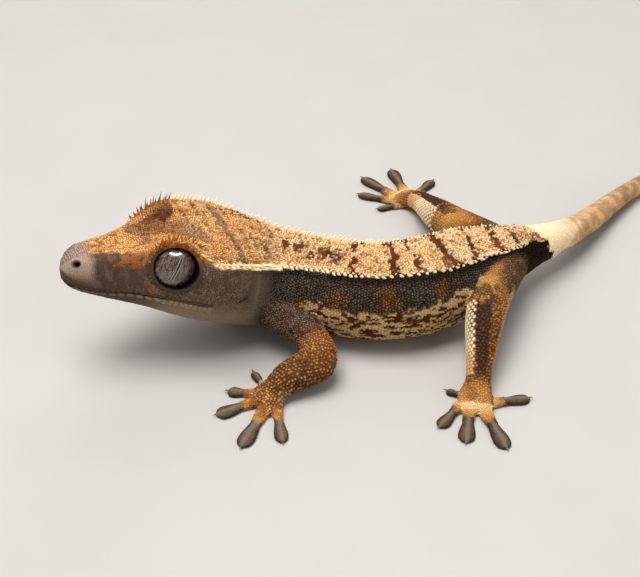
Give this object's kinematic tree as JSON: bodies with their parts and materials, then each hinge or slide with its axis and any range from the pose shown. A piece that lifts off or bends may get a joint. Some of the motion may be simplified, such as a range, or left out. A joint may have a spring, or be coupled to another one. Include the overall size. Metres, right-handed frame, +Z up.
{
  "type": "crested gecko",
  "caption": "Life-size still model of a crested gecko, head raised and turned, toes spread, with fringed crests along head and back and a slim curved tail",
  "frame": {"origin": "middle of the bounding box on the floor that the feet and tail rest on", "axes": "-X towards the snout, +X towards the hips and tail, +Y the animal's right side, +Z up"},
  "size_m": [0.1262, 0.0732, 0.0228],
  "materials": {
    "head_skin": "scaly orange-brown and grey skin",
    "body_skin": "granular mottled skin with a cream back",
    "tail_skin": "granular cream to brown skin",
    "leg_skin": "granular orange-brown skin",
    "foot_skin": "granular skin with smooth grey pads",
    "eye": "wet clear cornea over a brown-grey iris"
  },
  "bodies": {
    "root": {"head": "head_skin", "neck": "body_skin", "torso": "body_skin", "tail_base": "tail_skin", "tail_middle": "tail_skin", "tail_tip": "tail_skin", "eye_left": "eye", "eye_right": "eye", "upper_arm_front_left": "leg_skin", "forearm_front_left": "leg_skin", "hand_front_left": "foot_skin", "upper_arm_front_right": "leg_skin", "forearm_front_right": "leg_skin", "hand_front_right": "foot_skin", "thigh_back_left": "leg_skin", "shank_back_left": "leg_skin", "foot_back_left": "foot_skin", "thigh_back_right": "leg_skin", "shank_back_right": "leg_skin", "foot_back_right": "foot_skin"}
  },
  "joints": []
}
